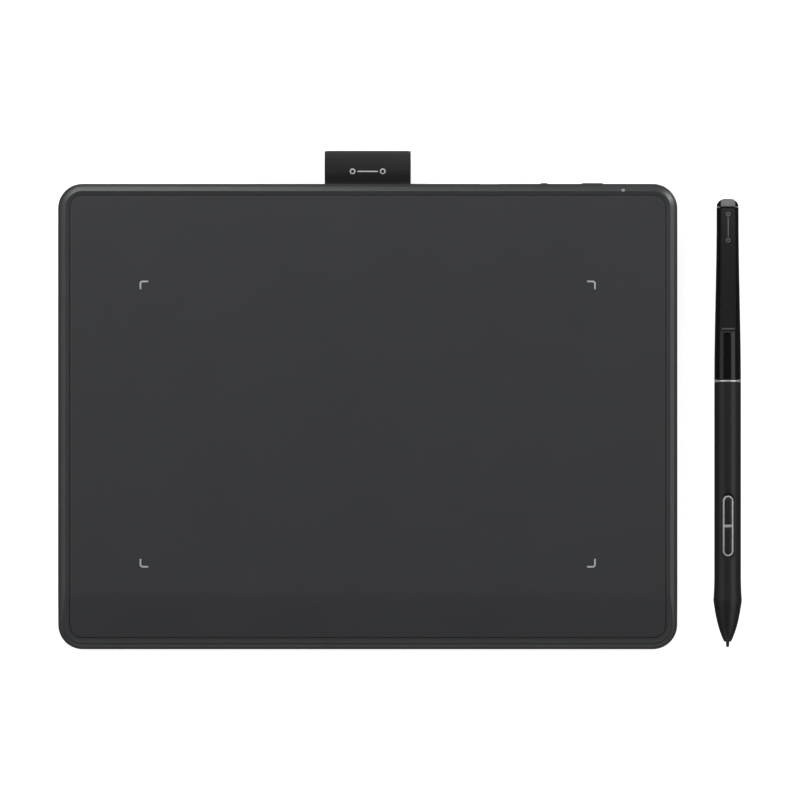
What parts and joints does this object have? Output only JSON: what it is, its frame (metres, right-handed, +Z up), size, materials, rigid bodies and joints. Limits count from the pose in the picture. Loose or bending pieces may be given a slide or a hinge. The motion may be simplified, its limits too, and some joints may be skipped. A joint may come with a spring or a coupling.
{
  "type": "pen drawing tablet",
  "caption": "Flat pen drawing tablet with a framed matte surface that bends down at its front edge, a fabric pen loop behind it, and a slim battery-free pen.",
  "frame": {"origin": "on the desk, under the middle of the box round the whole set, tablet and pen", "axes": "+X to the right along the tablet's long side, +Y to its rear edge with the pen loop, +Z up out of the drawing surface; the pen lies along Y on the right with its tip towards -Y"},
  "size_m": [0.2402, 0.1754, 0.0112],
  "materials": {
    "case_plastic": "satin moulded plastic, dark grey",
    "surface_film": "finely textured matte film, dark grey",
    "base_plastic": "matte moulded plastic, near black",
    "foot_rubber": "matte rubber, black",
    "loop_ribbon": "ribbed woven ribbon, black",
    "key_plastic": "satin moulded plastic, dark grey",
    "steel": "bright stamped steel",
    "lens": "clear polished plastic, milky",
    "circuit_board": "solder mask, green",
    "epoxy": "black moulded epoxy",
    "white_plastic": "ivory moulded plastic",
    "battery_foil": "laminated silver foil pouch",
    "flex_film": "amber polyimide film",
    "label_film": "matte label film, blank",
    "red_wire": "red insulation",
    "black_wire": "black insulation",
    "pen_matte": "soft matte plastic, black",
    "pen_gloss": "glossy plastic, black",
    "silver": "polished plated ring",
    "nib_plastic": "hard matte plastic, black",
    "ferrite": "sintered ferrite, dark grey",
    "copper": "enamelled copper winding"
  },
  "bodies": {
    "tablet": {"top_shell": "case_plastic", "drawing_surface": "surface_film", "bottom_cover": "base_plastic", "rating_label": "label_film", "pen_loop": "loop_ribbon", "loop_clamp": "steel", "loop_spacer": "epoxy", "usb_shell": "steel", "usb_tongue": "epoxy", "power_switch": "epoxy", "pairing_switch": "epoxy", "led_lens": "lens", "status_led": "white_plastic", "main_board": "circuit_board", "processor": "epoxy", "radio_module": "steel", "ribbon_connector": "white_plastic", "battery_socket": "white_plastic", "sensor_ribbon": "flex_film", "sensor_board": "circuit_board", "shield_plate": "steel", "battery": "battery_foil", "battery_tape": "white_plastic", "battery_lead_red": "red_wire", "battery_lead_black": "black_wire", "foot_front_left": "foot_rubber", "foot_front_right": "foot_rubber", "foot_rear_left": "foot_rubber", "foot_rear_right": "foot_rubber", "case_screw_rear_left": "steel", "case_screw_rear_right": "steel", "case_screw_middle_left": "steel", "case_screw_middle_right": "steel", "case_screw_front_left": "steel", "case_screw_front_right": "steel", "clamp_screw_left": "steel", "board_screw_left": "steel", "clamp_screw_right": "steel", "board_screw_right": "steel"},
    "power_button": {"power_button": "key_plastic"},
    "pairing_button": {"pairing_button": "key_plastic"},
    "pen": {"nose_cone": "pen_matte", "ferrite_core": "ferrite", "coil": "copper", "lower_barrel": "pen_matte", "button_bezel": "silver", "front_switch": "epoxy", "rear_switch": "epoxy", "pressure_sensor": "steel", "pen_board": "circuit_board", "inner_frame": "epoxy", "accent_ring": "silver", "upper_barrel": "pen_gloss", "end_cap": "key_plastic"},
    "pen_front_button": {"front_button": "pen_matte"},
    "pen_rear_button": {"rear_button": "pen_matte"},
    "nib": {"nib": "nib_plastic", "nib_holder": "white_plastic"},
    "clip": {"clip": "pen_gloss"}
  },
  "joints": [
    {"name": "pen_lift", "type": "slide", "parent": "tablet", "child": "pen", "axis": [0, 0, 1], "range_m": [0, 0.06]},
    {"name": "power_press", "type": "slide", "parent": "tablet", "child": "power_button", "axis": [0, -1, 0], "range_m": [0, 0.00025], "stiffness_N_per_m": 1500, "springref_m": -0.0002},
    {"name": "pairing_press", "type": "slide", "parent": "tablet", "child": "pairing_button", "axis": [0, -1, 0], "range_m": [0, 0.00025], "stiffness_N_per_m": 1500, "springref_m": -0.0002},
    {"name": "front_button_press", "type": "slide", "parent": "pen", "child": "pen_front_button", "axis": [0, 0, -1], "range_m": [0, 0.0003], "stiffness_N_per_m": 1200, "springref_m": -0.0002},
    {"name": "rear_button_press", "type": "slide", "parent": "pen", "child": "pen_rear_button", "axis": [0, 0, -1], "range_m": [0, 0.0003], "stiffness_N_per_m": 1200, "springref_m": -0.0002},
    {"name": "nib_press", "type": "slide", "parent": "pen", "child": "nib", "axis": [0, 1, 0], "range_m": [0, 0.0004], "stiffness_N_per_m": 2500, "springref_m": -0.0001},
    {"name": "clip_flex", "type": "hinge", "parent": "pen", "child": "clip", "pos_m": [0.11515, 0.06415, 0.0083], "axis": [-1, 0, 0], "range_deg": [0, 4], "stiffness_Nm_per_rad": 0.8, "springref_deg": -1.72}
  ]
}
